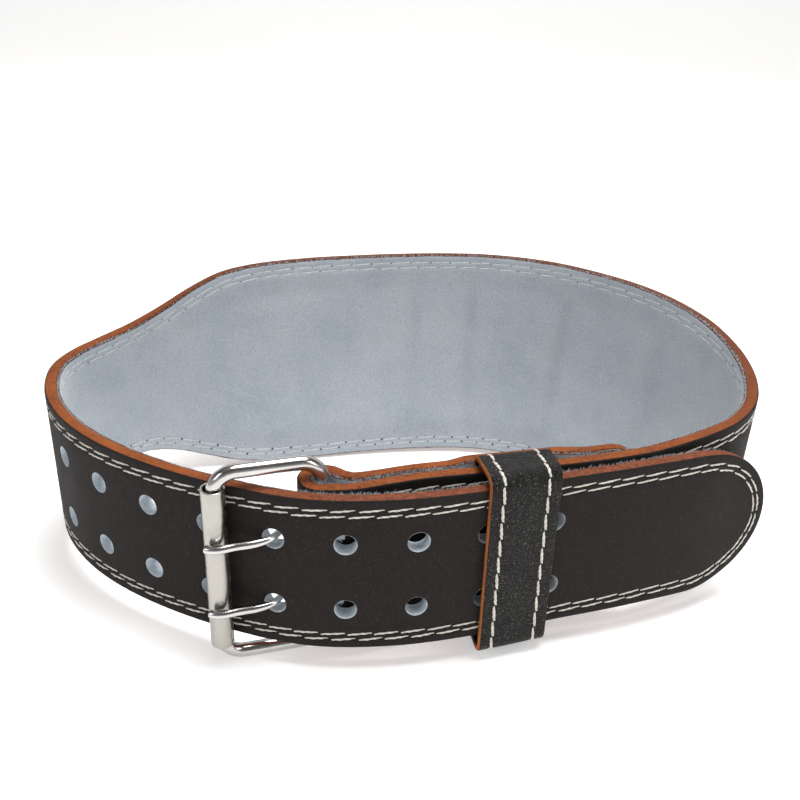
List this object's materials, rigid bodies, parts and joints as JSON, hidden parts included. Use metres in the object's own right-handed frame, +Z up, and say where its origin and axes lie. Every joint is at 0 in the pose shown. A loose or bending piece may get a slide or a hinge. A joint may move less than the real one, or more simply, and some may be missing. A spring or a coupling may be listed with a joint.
{
  "type": "weightlifting belt",
  "caption": "Leather weightlifting belt, fastened: wide suede-lined back, narrow punched front strap, double-prong roller buckle and keeper loop.",
  "frame": {"origin": "middle of the underside of the part's box, on the surface that the belt stands on", "axes": "+Z up from that surface, -Y towards the buckle side (the belt's front), +X towards the wearer's left, along the belt's width"},
  "size_m": [0.2942, 0.2002, 0.1024],
  "materials": {
    "black_leather": "matt black grain with orange-tan cut edges",
    "suede": "light blue-grey napped suede",
    "keeper_leather": "black pebbled leather with orange-tan cut edges",
    "nickel": "polished nickel plate on steel wire",
    "satin_nickel": "satin nickel plate on a rolled steel tube",
    "thread": "off-white twisted sewing thread"
  },
  "bodies": {
    "belt": {"belt_leather": "black_leather", "suede_lining": "suede", "keeper_loop": "keeper_leather", "buckle_frame": "nickel", "prong_upper": "nickel", "prong_lower": "nickel"},
    "roller": {"buckle_roller": "satin_nickel"}
  },
  "joints": [
    {"name": "roller_spin", "type": "hinge", "parent": "belt", "child": "roller", "pos_m": [-0.06323, -0.09165, 0.04142], "axis": [-0.007, -0.0492, 0.9988], "continuous": true}
  ]
}
